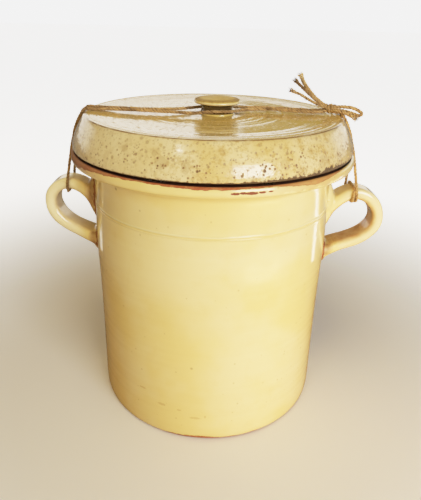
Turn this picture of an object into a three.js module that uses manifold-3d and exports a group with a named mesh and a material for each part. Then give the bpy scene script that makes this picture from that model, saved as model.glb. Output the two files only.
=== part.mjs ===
// Lidded glazed earthenware confit jar with two loop handles, tied shut with jute twine.
// Millimetres, +Z up. The origin is the middle of the foot, on the floor; the handles lie along X.
import * as THREE from 'three';
import { mergeVertices } from 'three/addons/utils/BufferGeometryUtils.js';
import Module from 'manifold-3d';

// Turned forms
const TURN_STEPS = 76;
const SEAT_GAP = 0.35;

// Crock: outer side from the foot up to the top of the rim, as radius and height
const RIM_RADIUS = 129.3;
const RIM_TOP = 257.9;
const CROCK_SIDE = [
  [110.6, 0], [112.9, 1.5], [113.7, 5], [113.4, 40], [112.7, 85], [112.5, 130],
  [112.9, 165], [112, 198], [110.9, 222], [111.2, 237], [112.3, 242.4], [115, 245.4],
  [119.4, 247.2], [124.4, 248.9], [128.2, 250.1], [129.1, 251.6], [RIM_RADIUS, 255.9],
  [128.7, 257.4], [127.2, 258.2], [125.4, RIM_TOP],
];

// Lid: underside seat, lip, convex side up to the shoulder, then the near-flat top
const LID_SEAT = RIM_TOP + SEAT_GAP;
const LID_LIP_RADIUS = 127.4;
const LID_SIDE = [
  [126.6, 260.2], [LID_LIP_RADIUS, 261.4], [127.1, 264.4], [125.5, 270], [122.6, 276.6],
  [119.2, 282.8], [116.9, 286.6], [115.6, 288.2],
];
const LID_TOP = 288.6;

// Knob on the lid, set a little off the middle as thrown by hand
const KNOB_X = 3;
const KNOB_RADIUS = 20.6;
const KNOB_NECK_RADIUS = 14.3;
const KNOB_TOP = 301.6;

// Handle straps: half width along Y, half thickness, and the middle line of each as X and Z
const STRAP_HALF_WIDTH = 12.5;
const STRAP_HALF_THICKNESS = 5.25;
const STRAP_SQUARENESS = 2.5;
const STRAP_SIDES = 14;
const STRAP_STEPS = 30;
const STRAP_RIGHT = [
  [106, 183], [110.4, 191.5], [115, 200.5], [121.9, 207.4], [129.8, 213], [138.4, 216],
  [147.6, 214.6], [155.6, 209.2], [161.3, 201.2], [163.8, 193], [163.2, 185.6], [160, 178.8],
  [154, 172.6], [146, 167.8], [136.5, 163.9], [126.5, 160.2], [117, 155.8], [106, 150],
];
const STRAP_LEFT = [
  [-106, 187], [-111, 196.5], [-115.6, 205.8], [-121.7, 213], [-129.7, 218], [-138.2, 219.6],
  [-146.6, 217.2], [-153, 211.6], [-156.2, 204], [-156, 195.6], [-153, 188], [-148, 181.4],
  [-140.5, 175.5], [-131.5, 170.6], [-122, 166], [-106, 158.6],
];
// Clay pressed out at each root: where on the wall, and half sizes outwards, across and up
const ROOTS = [
  [111, 207, 8.5, 17, 20], [112.4, 153.4, 7, 16.5, 13],
  [-111, 210.5, 8.5, 17, 19.5], [-112.5, 161.2, 7, 16.5, 13],
];

// Twine
const CORD_RADIUS = 1.4;
const CORD_SIDES = 6;
const CORD_STEP = 4.2;
const CORD_CLEAR = 0.34;
const LAY = CORD_RADIUS + CORD_CLEAR;
const TWINE_Z = LID_TOP + LAY;

const wasm = await Module();
wasm.setup();

const toSolid = (geometry) => {
  const plain = geometry.index ? geometry.clone() : geometry;
  plain.deleteAttribute('normal');
  plain.deleteAttribute('uv');
  const merged = mergeVertices(plain, 1e-4);
  return new wasm.Manifold(new wasm.Mesh({
    numProp: 3,
    vertProperties: new Float32Array(merged.attributes.position.array),
    triVerts: new Uint32Array(merged.index.array),
  }));
};

const toGeometry = (solid) => {
  const mesh = solid.getMesh();
  const geometry = new THREE.BufferGeometry();
  geometry.setAttribute('position', new THREE.BufferAttribute(new Float32Array(mesh.vertProperties), 3));
  geometry.setIndex(new THREE.BufferAttribute(new Uint32Array(mesh.triVerts), 1));
  return mergeVertices(geometry, 1e-3);
};

const fuse = (geometries) => toGeometry(
  geometries.map(toSolid).reduce((whole, piece) => whole.add(piece)),
);

// A turned form from radius and height pairs, standing on Z
const turned = (profile, steps = TURN_STEPS) => {
  const outline = profile.map(([radius, height]) => new THREE.Vector2(radius, height));
  const geometry = new THREE.LatheGeometry(outline, steps);
  geometry.rotateX(Math.PI / 2);
  return geometry;
};

// A strap whose section is a squared-off oval, swept along its middle line in the XZ plane
const strap = (line) => {
  const middle = line.map(([x, z]) => new THREE.Vector3(x, 0, z));
  const path = new THREE.CatmullRomCurve3(middle, false, 'centripetal');
  const section = new THREE.Shape();
  for (let i = 0; i < STRAP_SIDES; i += 1) {
    const angle = (2 * Math.PI * (i + 0.5)) / STRAP_SIDES;
    const power = 2 / STRAP_SQUARENESS;
    const x = STRAP_HALF_WIDTH * Math.sign(Math.cos(angle)) * Math.abs(Math.cos(angle)) ** power;
    const y = STRAP_HALF_THICKNESS * Math.sign(Math.sin(angle)) * Math.abs(Math.sin(angle)) ** power;
    if (i === 0) section.moveTo(x, y);
    else section.lineTo(x, y);
  }
  section.closePath();
  return new THREE.ExtrudeGeometry(section, { steps: STRAP_STEPS, extrudePath: path, bevelEnabled: false });
};

const rootPad = ([x, z, out, across, up]) => {
  const geometry = new THREE.SphereGeometry(1, 14, 9);
  geometry.scale(out, across, up);
  geometry.translate(x, 0, z);
  return geometry;
};

const cord = (points, radius = CORD_RADIUS) => {
  const path = new THREE.CatmullRomCurve3(points.map((p) => new THREE.Vector3(...p)), false, 'centripetal');
  const steps = Math.max(4, Math.round(path.getLength() / CORD_STEP));
  const section = new THREE.Shape();
  for (let i = 0; i < CORD_SIDES; i += 1) {
    const angle = (2 * Math.PI * i) / CORD_SIDES;
    const x = radius * Math.cos(angle);
    const y = radius * Math.sin(angle);
    if (i === 0) section.moveTo(x, y);
    else section.lineTo(x, y);
  }
  section.closePath();
  return new THREE.ExtrudeGeometry(section, { steps, extrudePath: path, bevelEnabled: false });
};

// The lid's side, offset outwards by the cord's lay, at a share of the way from lip to shoulder
const sideCurve = new THREE.CatmullRomCurve3(
  LID_SIDE.slice(1).map(([radius, height]) => new THREE.Vector3(radius, 0, height)),
);
const onLidSide = (share, side, y) => {
  const p = sideCurve.getPoint(share);
  const t = sideCurve.getTangent(share);
  const radius = p.x + LAY * t.z;
  return [side * Math.sqrt(radius * radius - y * y), y, p.z - LAY * t.x];
};
const upLidSide = (side, yLip, yShoulder) => [0.1, 0.35, 0.6, 0.82].map(
  (share) => onLidSide(share, side, yLip + (yShoulder - yLip) * share),
);

// The long cord: from the knot over the lid behind the knob, round the left handle and back in front
const overBehind = [
  [103, 3.2, 292], [92, 8.4, TWINE_Z], [80, 11.6, TWINE_Z], [67, 14.2, TWINE_Z], [55, 16.2, TWINE_Z],
  [44, 17.2, TWINE_Z], [34, 17.2, TWINE_Z], [24, 17, TWINE_Z], [13.5, 17.2, TWINE_Z], [3, 17.8, TWINE_Z],
  [-8, 15.4, TWINE_Z], [-17, 9.4, TWINE_Z], [-26, 3, TWINE_Z], [-39.5, -3.2, TWINE_Z],
  [-57, -5.6, TWINE_Z], [-75, -4.2, TWINE_Z], [-94, -1.8, TWINE_Z], [-108, 0.4, TWINE_Z],
  [-116, 1.4, 290], ...upLidSide(-1, 5, 1.6).reverse(),
];
const leftWrap = [
  [-131.5, 6.6, 255.6], [-133, 8.4, 247], [-135.4, 11, 235], [-137.2, 13.6, 226],
  [-138.2, 14.7, 219], [-138.4, 13.2, 213], [-138.3, 8.4, 211.9], [-138, 0, 211.8],
  [-137.6, -8.4, 211.9], [-137.4, -13.2, 213], [-137.2, -14.7, 219], [-136.4, -13.4, 226],
  [-134.9, -10.8, 236], [-132.8, -8.6, 248], [-131.4, -7.4, 255.6],
];
const overInFront = [
  ...upLidSide(-1, -7.2, -10), [-115.6, -11, 290],
  [-110, -12.4, TWINE_Z], [-102, -12.2, TWINE_Z], [-92, -11, TWINE_Z], [-82, -11, TWINE_Z],
  [-69.5, -12.6, TWINE_Z], [-56, -14.4, TWINE_Z], [-43, -16.6, TWINE_Z], [-30, -18.8, TWINE_Z],
  [-17, -19.4, TWINE_Z], [-6, -18.2, 290.8], [4, -17, 291.2], [13, -14, 291], [20, -7.6, 290.6],
  [27, 0.2, TWINE_Z], [34, 5.8, TWINE_Z], [43, 8.8, TWINE_Z], [54, 8.6, TWINE_Z], [66, 5.4, TWINE_Z],
  [79, 1.4, TWINE_Z], [91, -1, TWINE_Z], [103, 0.6, 291.4],
];

// The short cord: from the knot down to the right handle, one and a half turns round its upper arm
const rightWrap = [
  [106, 0, 292], [111.5, -1.8, 290.8], [116.1, -2.8, 290], ...upLidSide(1, -4.8, -3.2).reverse(),
  [131.4, -6, 255.6], [133.4, -8, 246], [135.6, -10.8, 234], [137, -13.4, 224],
  [138.4, -14.6, 216], [138.4, -13.2, 209.8], [138.2, -8, 208.5], [137.8, 0, 208.4],
  [137.4, 8.4, 208.4], [137.2, 13.2, 209.8], [137, 14.6, 215.6], [136.8, 13, 221.4],
  [136.6, 8, 222.8], [136.2, 0, 222.9], [135.8, -8, 222.6], [135.5, -13, 221],
  [135.4, -14.6, 215.2], [135.3, -13.2, 209.4], [135.2, -8, 208], [134.8, 0, 207.8],
  [134.4, 8.4, 207.6], [134.2, 13.2, 209], [134, 14.8, 215], [133.8, 13.6, 223],
  [133.3, 11, 236], [132.5, 8.6, 248], [131.5, 7, 255.6],
  ...upLidSide(1, 5.6, 4), [116.1, 3.8, 290], [111.5, 3, 291], [106, 2, 292.4],
];

// Knot, its three loose ends, and the flat loop and end that stick out over the shoulder
const KNOT = { x: 103, y: 1.4, z: 293.4, radius: 2.9, turns: 2.2, length: 8 };
const knotCoil = [];
for (let i = 0; i <= 18; i += 1) {
  const turn = (2 * Math.PI * KNOT.turns * i) / 18;
  knotCoil.push([
    KNOT.x - KNOT.length / 2 + (KNOT.length * i) / 18 + 3,
    KNOT.y + KNOT.radius * Math.cos(turn),
    KNOT.z + KNOT.radius * Math.sin(turn),
  ]);
}
const endLong = [[105, 2, 294], [98, 2.6, 297.6], [90, 3.2, 303.6], [82, 3.8, 312.6], [76.4, 4.2, 322]];
const endMiddle = [[104, 1, 294.6], [96, 0.4, 298], [86.4, -0.6, 304.8], [78, -1.6, 311.8], [71, -2.4, 317.8]];
const endThin = [[104, 0, 294], [96, -2.4, 296.4], [86, -5, 300.8], [77, -7, 305.8], [67, -8.4, 309.8]];
const bowLoop = [
  [103, 1, 294.4], [113, -1, 295.4], [123, -2.6, 295.2], [130, -4, 293.2], [133.6, -5.2, 290.4],
  [131.6, -6, 288.8], [125, -5.6, 290.6], [116, -3.8, 292.6], [106, -0.6, 293],
];
const endRight = [[106, -1, 293], [114, -5, 292.2], [121, -8, 289.8], [128, -10, 286.4]];

// Crock, solid because it is tied shut and can't be seen into
const jarProfile = [[0, 0], ...CROCK_SIDE, [0, RIM_TOP]];
const jarGeometry = fuse([
  turned(jarProfile), strap(STRAP_RIGHT), strap(STRAP_LEFT), ...ROOTS.map(rootPad),
]);

// Lid with its knob
const lidProfile = [
  [0, LID_SEAT], [124.4, LID_SEAT], [125.6, 259.3], ...LID_SIDE, [113.6, LID_TOP], [0, LID_TOP],
];
const knobProfile = [
  [0, LID_TOP - 4], [15.8, LID_TOP - 4], [15.8, LID_TOP], [14.7, 289.6], [KNOB_NECK_RADIUS, 292.4],
  [15.5, 294], [18.3, 294.6], [20.1, 295.7], [KNOB_RADIUS, 297.5], [20.1, 299.6], [18.4, 300.9],
  [15.6, 301.3], [0, KNOB_TOP],
];
const knob = turned(knobProfile, 40);
knob.translate(KNOB_X, 0, 0);
const lidGeometry = fuse([turned(lidProfile), knob]);

const twineGeometry = fuse([
  cord([...overBehind, ...leftWrap, ...overInFront]),
  cord(rightWrap), cord(knotCoil), cord(endLong, 1.9), cord(endMiddle), cord(endThin, 1.3),
  cord(bowLoop), cord(endRight),
]);

const piece = (name, geometry, color, roughness) => {
  const mesh = new THREE.Mesh(geometry, new THREE.MeshStandardMaterial({ color, roughness, metalness: 0 }));
  mesh.name = name;
  return mesh;
};

const confitJar = new THREE.Group();
confitJar.add(piece('jar', jarGeometry, 0xe6d498, 0.25));
confitJar.add(piece('lid', lidGeometry, 0xd9c68c, 0.25));
confitJar.add(piece('twine', twineGeometry, 0xa8804a, 0.9));

export default confitJar;
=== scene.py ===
# Lidded earthenware confit jar with two loop handles, tied shut with jute twine
import math

import bpy
import numpy as np
from mathutils import Matrix, Vector


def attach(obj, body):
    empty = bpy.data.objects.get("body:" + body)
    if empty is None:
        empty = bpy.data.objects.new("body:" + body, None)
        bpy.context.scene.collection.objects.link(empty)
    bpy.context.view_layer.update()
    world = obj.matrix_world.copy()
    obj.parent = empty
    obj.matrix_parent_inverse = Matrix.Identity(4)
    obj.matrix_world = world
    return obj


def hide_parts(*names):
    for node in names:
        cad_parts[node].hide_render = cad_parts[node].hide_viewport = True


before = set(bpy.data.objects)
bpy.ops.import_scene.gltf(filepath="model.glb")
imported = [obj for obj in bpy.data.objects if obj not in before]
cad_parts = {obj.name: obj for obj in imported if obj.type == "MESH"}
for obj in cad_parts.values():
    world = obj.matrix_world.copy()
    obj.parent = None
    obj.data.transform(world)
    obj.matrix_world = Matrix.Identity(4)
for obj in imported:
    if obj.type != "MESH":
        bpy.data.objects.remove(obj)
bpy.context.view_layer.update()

mm = 0.001
print("frame loaded:", sorted(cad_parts))

cameraSettings = {
    "place": (0.0, -0.4498, 0.3657),
    "yaw": 0.03,        # degrees, clockwise from +Y
    "pitch": 25.854,    # degrees down
    "roll": 1.423,      # degrees
    "focal": 480.0,     # pixels on the picture's 500 pixel side
    "tall": 500.0,
    "sensor": 36.0,
}


def placeCamera(s):
    yaw, pitch, roll = (math.radians(s[k]) for k in ("yaw", "pitch", "roll"))
    ahead = Vector((math.sin(yaw), math.cos(yaw), 0))
    right = Vector((math.cos(yaw), -math.sin(yaw), 0))
    up = Vector((0, 0, 1))
    look = ahead * math.cos(pitch) - up * math.sin(pitch)
    top = up * math.cos(pitch) + ahead * math.sin(pitch)
    side = right * math.cos(roll) + top * math.sin(roll)
    crown = top * math.cos(roll) - right * math.sin(roll)
    data = bpy.data.cameras.new("photoCamera")
    data.sensor_width = s["sensor"]
    data.lens = s["sensor"] * s["focal"] / s["tall"]
    data.clip_start = 0.01
    data.clip_end = 50
    camera = bpy.data.objects.new("photoCamera", data)
    turn = Matrix((side, crown, -look)).transposed().to_4x4()
    camera.matrix_world = Matrix.Translation(s["place"]) @ turn
    bpy.context.scene.collection.objects.link(camera)
    bpy.context.scene.camera = camera


placeCamera(cameraSettings)
print("camera placed")


def smoothThrough(points, spacing):
    # centripetal Catmull-Rom through the points, then evenly spaced along its length
    p = np.array(points, float)
    p = np.vstack([2 * p[0] - p[1], p, 2 * p[-1] - p[-2]])
    fine = []
    for i in range(1, len(p) - 2):
        a, b, c, d = p[i - 1], p[i], p[i + 1], p[i + 2]
        s0, s1, s2 = (max(np.linalg.norm(q), 1e-6) ** 0.5 for q in (b - a, c - b, d - c))
        m1 = ((b - a) / s0 - (c - a) / (s0 + s1) + (c - b) / s1) * s1
        m2 = ((c - b) / s1 - (d - b) / (s1 + s2) + (d - c) / s2) * s1
        for t in np.arange(24) / 24:
            fine.append(b + m1 * t + (-3 * b + 3 * c - 2 * m1 - m2) * t**2 + (2 * b - 2 * c + m1 + m2) * t**3)
    fine.append(p[-2])
    fine = np.array(fine)
    along = np.concatenate([[0], np.cumsum(np.linalg.norm(np.diff(fine, axis=0), axis=1))])
    count = max(2, int(round(along[-1] / spacing)) + 1)
    even = np.linspace(0, along[-1], count)
    return np.column_stack([np.interp(even, along, fine[:, k]) for k in range(p.shape[1])])


def selectNothing():
    if bpy.context.object and bpy.context.object.mode != "OBJECT":
        bpy.ops.object.mode_set(mode="OBJECT")
    bpy.ops.object.select_all(action="DESELECT")


def selectOnly(pieces):
    selectNothing()
    for piece in pieces:
        piece.select_set(True)
    bpy.context.view_layer.objects.active = pieces[0]


def startEditing():
    bpy.ops.object.mode_set(mode="EDIT")
    bpy.ops.mesh.select_all(action="SELECT")


def finishEditing():
    bpy.ops.mesh.select_all(action="SELECT")
    bpy.ops.mesh.normals_make_consistent(inside=False)
    bpy.ops.object.mode_set(mode="OBJECT")


def turnOnWheel(name, profile, steps, centreX=0.0):
    # one point is drawn up along the profile, given as radius and height in mm, and the line is spun
    selectNothing()
    bpy.ops.mesh.primitive_plane_add(size=0.001, location=(0, 0, 0))
    piece = bpy.context.object
    piece.name = name
    startEditing()
    bpy.ops.mesh.merge(type="CENTER")
    spots = [Vector((centreX + radius, 0, height)) * mm for radius, height in profile]
    bpy.ops.transform.translate(value=spots[0])
    for before, after in zip(spots, spots[1:]):
        bpy.ops.mesh.extrude_vertices_move(TRANSFORM_OT_translate={"value": after - before})
    bpy.ops.mesh.select_all(action="SELECT")
    bpy.ops.mesh.spin(steps=steps, angle=2 * math.pi, center=(centreX * mm, 0, 0), axis=(0, 0, 1))
    bpy.ops.mesh.select_all(action="SELECT")
    bpy.ops.mesh.remove_doubles(threshold=2e-6)
    finishEditing()
    return piece


def drawProfile(points, spacingAt):
    # the profile as a smooth line, with points closer together where spacingAt says so
    fine = smoothThrough(points, 0.1)
    kept = [fine[0]]
    run = 0.0
    for before, after in zip(fine, fine[1:]):
        run += float(np.linalg.norm(after - before))
        if run >= spacingAt(after[0], after[1]):
            kept.append(after)
            run = 0.0
    if np.linalg.norm(kept[-1] - fine[-1]) > 1e-6:
        kept.append(fine[-1])
    return [(float(r), float(z)) for r, z in kept]


def vertexArray(piece):
    spots = np.empty(len(piece.data.vertices) * 3)
    piece.data.vertices.foreach_get("co", spots)
    return spots.reshape(-1, 3)


def setVertices(piece, spots):
    piece.data.vertices.foreach_set("co", spots.reshape(-1))
    piece.data.update()


def smoothShade(piece, angle=40):
    selectOnly([piece])
    bpy.ops.object.shade_smooth_by_angle(angle=math.radians(angle))


def applyModifier(piece, kind, **settings):
    selectOnly([piece])
    bpy.ops.object.modifier_add(type=kind)
    modifier = piece.modifiers[-1]
    for key, value in settings.items():
        setattr(modifier, key, value)
    bpy.ops.object.modifier_apply(modifier=modifier.name)


crockSettings = {
    "side": [
        (110.6, 0), (112.9, 1.5), (113.7, 5), (113.4, 40), (112.7, 85), (112.5, 130),
        (112.9, 165), (112, 198), (110.9, 222), (111.2, 237), (112.3, 242.4), (115, 245.4),
        (119.4, 247.2), (124.4, 248.9), (128.2, 250.1), (129.1, 251.6), (129.3, 254.4), (129.0, 256.1),
        (128.3, 257.5), (127.0, 258.2), (125.4, 257.9), (121, 257.4),
    ],
    "rings": [(211.8, 0.55, 0.6), (209.3, 0.42, 0.5)],  # height, how far they stand out, half width
    "throwing": 0.1,      # mm, depth of the finger lines left by throwing
    "thrown": (8, 236, 12),     # mm, lowest and highest of those lines and how far they fade in
    "outOfRound": 0.35,   # mm
    "steps": 208,
}


def crockProfile(s):
    def spacing(radius, height):
        if height < 7 or height > 240:
            return 0.75
        if 206.5 < height < 214:
            return 0.3
        return 2.4
    drawn = drawProfile(s["side"], spacing)
    low, high, fadeIn = s["thrown"]
    shaped = []
    for radius, height in drawn:
        for centre, stand, width in s["rings"]:
            radius += stand * math.exp(-(((height - centre) / width) ** 2))
        if low < height < high:
            fade = min(1, (height - low) / fadeIn, (high - height) / fadeIn)
            line = math.sin(height * 0.83) + 0.7 * math.sin(height * 0.37 + 1.3)
            line += 0.5 * math.sin(height * 1.9 + 0.4)
            radius += s["throwing"] * fade * line * 0.5
        shaped.append((radius, height))
    return [(0, 0.9), (96, 0.9), (99, 0)] + shaped + [(0, 257.2)]


crock = turnOnWheel("crock", crockProfile(crockSettings), crockSettings["steps"])


def bowOutOfRound(piece, depth):
    spots = vertexArray(piece)
    angle = np.arctan2(spots[:, 1], spots[:, 0])
    height = spots[:, 2] / 0.26
    swell = np.sin(2 * angle + 0.7 + 0.9 * height) + 0.5 * np.sin(3 * angle + 2.1 - 1.7 * height)
    reach = np.hypot(spots[:, 0], spots[:, 1])
    push = depth * mm * 0.55 * swell * np.clip(reach / 0.05, 0, 1) * np.clip(height * 3, 0.15, 1)
    spots[:, 0] += push * np.cos(angle)
    spots[:, 1] += push * np.sin(angle)
    setVertices(piece, spots)


bowOutOfRound(crock, crockSettings["outOfRound"])
print("crock turned:", len(crock.data.vertices), "points")

handleSettings = {
    # line, roots and hole in mm, as X and Z; each root is a lump with its half sizes along X, Y and Z
    "right": {
        "line": [
            (106, 183), (110.4, 191.5), (115, 200.5), (121.9, 207.4), (129.8, 213), (138.4, 216),
            (147.6, 214.6), (155.6, 209.2), (161.3, 201.2), (163.8, 193), (163.2, 185.6), (160, 178.8),
            (154, 172.6), (146, 167.8), (136.5, 163.9), (126.5, 160.2), (117, 155.8), (106, 150),
        ],
        "roots": [(111, 207, 8.5, 17, 20), (112.4, 153.4, 7, 16.5, 13)],
        "hole": (138, 190),
    },
    "left": {
        "line": [
            (-106, 187), (-111, 196.5), (-115.6, 205.8), (-121.7, 213), (-129.7, 218), (-138.2, 219.6),
            (-146.6, 217.2), (-153, 211.6), (-156.2, 204), (-156, 195.6), (-153, 188), (-148, 181.4),
            (-140.5, 175.5), (-131.5, 170.6), (-122, 166), (-106, 158.6),
        ],
        "roots": [(-111, 210.5, 8.5, 17, 19.5), (-112.5, 161.2, 7, 16.5, 13)],
        "hole": (-133, 194),
    },
    "halfWidth": 12.7,
    "halfThick": 5.5,
    "cornerRound": 4.6,
    "rootWidth": 4.5,     # mm wider at each root
    "rootShare": 0.22,    # of its length, over which it widens
    "step": 4.0,
    "voxel": 1.15,
    "softening": 9,
    "wallInset": 0.5,     # mm that the patch of wall lies under the crock's own wall
    "wallPatch": (134, 234, 100, 36),   # lowest, highest, nearest the axis and half width, in mm
    "fingerDents": 0.22,
    "dentsBeyond": (0.116, 0.012),      # m, how far out they start and over what length
    "innerFrom": (0.35, 0.45),          # shares of the half thickness, start and length of the mask
    "seamReach": 12,      # mm over which the seam's mask fades out
}


def pullStrap(name, s, line):
    # a rounded slab, extruded along the line, wider where it was pressed on
    route = smoothThrough(line, s["step"])
    lean = np.diff(np.vstack([2 * route[0] - route[1], route, 2 * route[-1] - route[-2]]), axis=0)
    lean = lean / np.linalg.norm(lean, axis=1)[:, None]
    lean = lean[:-1] + lean[1:]
    angles = np.unwrap(np.arctan2(lean[:, 0], lean[:, 1]))
    share = np.linspace(0, 1, len(route))
    widening = np.clip(1 - np.minimum(share, 1 - share) / s["rootShare"], 0, 1) ** 1.5
    widths = s["halfWidth"] + s["rootWidth"] * widening
    selectNothing()
    bpy.ops.mesh.primitive_plane_add(size=2, location=(0, 0, 0))
    strap = bpy.context.object
    strap.name = name
    startEditing()
    bpy.ops.transform.resize(value=(s["halfThick"] * mm, widths[0] * mm, 1))
    bpy.ops.mesh.bevel(offset=s["cornerRound"] * mm, segments=4, affect="VERTICES")
    bpy.ops.mesh.select_all(action="SELECT")
    here = Vector((route[0][0], 0, route[0][1])) * mm
    bpy.ops.transform.translate(value=here)
    bpy.ops.transform.rotate(value=-angles[0], orient_axis="Y", center_override=here)
    for i in range(1, len(route)):
        there = Vector((route[i][0], 0, route[i][1])) * mm
        bpy.ops.mesh.extrude_region_move(TRANSFORM_OT_translate={"value": there - here})
        bpy.ops.transform.rotate(value=-(angles[i] - angles[i - 1]), orient_axis="Y", center_override=there)
        bpy.ops.transform.resize(value=(1, widths[i] / widths[i - 1], 1), center_override=there)
        here = there
    finishEditing()
    return strap


def pressRoot(root):
    x, z, out, across, up = root
    selectNothing()
    bpy.ops.mesh.primitive_uv_sphere_add(segments=32, ring_count=20, radius=mm, location=(0, 0, 0))
    startEditing()
    bpy.ops.transform.resize(value=(out, across, up))
    bpy.ops.transform.translate(value=(x * mm, 0, z * mm))
    bpy.ops.object.mode_set(mode="OBJECT")
    return bpy.context.object


def cutWallPatch(s, side):
    # a piece of the crock's wall that lies a little under it, so that the roots run out smoothly
    low, high, nearAxis, half = s["wallPatch"]
    profile = [(r - s["wallInset"], z) for r, z in drawProfile(crockSettings["side"], lambda r, z: 4)
               if low <= z <= high]
    profile = [(0, profile[0][1])] + profile + [(0, profile[-1][1])]
    patch = turnOnWheel("wallPatch", profile, steps=96)
    bpy.ops.object.mode_set(mode="EDIT")
    for normal, far in (((-side, 0, 0), -nearAxis), ((0, 1, 0), half), ((0, -1, 0), half)):
        cut = Vector(normal) * far * mm
        bpy.ops.mesh.select_all(action="SELECT")
        bpy.ops.mesh.bisect(plane_co=cut, plane_no=normal, use_fill=True, clear_outer=True)
    bpy.ops.object.mode_set(mode="OBJECT")
    return patch


def makeHandle(s, which, side):
    pieces = [pullStrap(which + "Handle", s, s[which]["line"])]
    pieces += [pressRoot(root) for root in s[which]["roots"]]
    pieces.append(cutWallPatch(s, side))
    selectOnly(pieces)
    bpy.ops.object.join()
    handle = bpy.context.object
    applyModifier(handle, "REMESH", mode="VOXEL", voxel_size=s["voxel"] * mm)
    applyModifier(handle, "SMOOTH", factor=0.5, iterations=s["softening"])
    return handle


def pressFingers(piece, s):
    # shallow finger dents along the strap, as left by a wet hand
    spots = vertexArray(piece)
    normals = np.empty(len(spots) * 3)
    piece.data.vertex_normals.foreach_get("vector", normals)
    normals = normals.reshape(-1, 3)
    start, length = s["dentsBeyond"]
    out = np.clip((np.abs(spots[:, 0]) - start) / length, 0, 1)
    x, y, z = (spots / 0.01).T
    dents = np.sin(1.9 * z + 0.8 * x) * np.cos(1.1 * y + 0.6 * z) + 0.6 * np.sin(0.9 * x - 1.3 * z + 2)
    spots += normals * (out * dents * s["fingerDents"] * mm)[:, None]
    setVertices(piece, spots)


def markHandle(piece, s, which):
    # two masks kept on the mesh: the face turned to the hand hole, where shade is painted, and the seam with
    # the crock's wall
    spots = vertexArray(piece) / mm
    route = smoothThrough(s[which]["line"], s["step"] / 2)
    flat = spots[:, [0, 2]]
    nearest = np.argmin(((flat[:, None, :] - route[None, :, :]) ** 2).sum(axis=2), axis=1)
    inwards = np.array(s[which]["hole"]) - route[nearest]
    inwards /= np.linalg.norm(inwards, axis=1)[:, None]
    facing = ((flat - route[nearest]) * inwards).sum(axis=1) / s["halfThick"]
    side = np.array([point for point in crockSettings["side"] if point[1] < 240])
    gap = np.hypot(spots[:, 0], spots[:, 1]) - np.interp(spots[:, 2], side[:, 1], side[:, 0])
    start, length = s["innerFrom"]
    holeShade = np.clip((facing - start) / length, 0, 1)
    masks = {"holeShade": holeShade, "seam": np.clip(1 - gap / s["seamReach"], 0, 1)}
    for title, mask in masks.items():
        kept = piece.data.attributes.new(title, "FLOAT", "POINT")
        kept.data.foreach_set("value", mask.astype(np.float32))


handles = [makeHandle(handleSettings, "right", 1), makeHandle(handleSettings, "left", -1)]
for handle, which in zip(handles, ("right", "left")):
    pressFingers(handle, handleSettings)
    markHandle(handle, handleSettings, which)
    print("handle pulled:", handle.name, len(handle.data.polygons), "faces")

for title in ("holeShade", "seam"):
    crock.data.attributes.new(title, "FLOAT", "POINT")
selectOnly([crock, *handles])
bpy.ops.object.join()
crock = bpy.context.object
crock.name = "crock"
smoothShade(crock)

lidSettings = {
    "side": [
        (118.2, 258.7), (119.4, 259.9), (124.4, 259.9), (126.4, 260.2), (127.3, 261.3), (127.1, 264.4),
        (125.5, 270), (122.6, 276.6), (119.2, 282.8), (116.9, 286.4), (115.4, 288.0), (113.6, 288.55),
    ],
    # slightly dished, so that the glaze mirrors the knob towards the front
    "top": [
        (113.6, 288.55), (109, 288.4), (98, 287.8), (85, 287.1), (70, 286.75), (45, 286.6),
        (27, 286.75), (19, 287.1),
    ],
    # turned lines on the top: radius, depth and half width in mm
    "grooves": [
        (110.6, 0.22, 0.6), (104.5, 0.08, 0.9), (86, 0.09, 1.4), (61, 0.1, 1.6), (48, 0.08, 1.4),
        (40, 0.07, 1.0),
    ],
    "sideLines": 0.09,
    "outOfRound": 0.3,
    "steps": 200,
    "knobX": 3.0,
    "knob": [
        (0, 284), (15.8, 284), (16.0, 287.6), (14.9, 289.3), (14.3, 291), (14.3, 293), (15.1, 294.6),
        (17.2, 295.6), (19.5, 296.3), (20.9, 297.3), (21.1, 298.3), (20.3, 299.4), (18.0, 300.2),
        (14, 300.7), (8, 301.0), (0, 301.15),
    ],
    "knobSteps": 96,
}


def lidProfile(s):
    side = drawProfile(s["side"], lambda r, z: 0.6 if z < 262 or z > 286 else 1.4)
    top = drawProfile(s["top"], lambda r, z: 0.45 if r > 99 else 1.3)
    shaped = []
    for radius, height in side:
        if 263 < height < 287:
            radius += s["sideLines"] * 0.5 * (math.sin(height * 1.7) + 0.7 * math.sin(height * 0.9 + 1))
        shaped.append((radius, height))
    for radius, height in top[1:]:
        for centre, depth, width in s["grooves"]:
            height -= depth * math.exp(-(((radius - centre) / width) ** 2))
        height += 0.02 * math.sin(radius * 0.9) + 0.012 * math.sin(radius * 1.7 + 1)
        shaped.append((radius, height))
    return [(0, 258.7)] + shaped + [(0, 287.1)]


lidShell = turnOnWheel("lid", lidProfile(lidSettings), lidSettings["steps"])
knobLine = drawProfile(lidSettings["knob"], lambda r, z: 0.5)
knob = turnOnWheel("knob", knobLine, lidSettings["knobSteps"], lidSettings["knobX"])
bowOutOfRound(lidShell, lidSettings["outOfRound"])
selectOnly([lidShell, knob])
bpy.ops.object.join()
lid = bpy.context.object
lid.name = "lid"
smoothShade(lid)
print("lid turned:", len(lid.data.vertices), "points")

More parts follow.
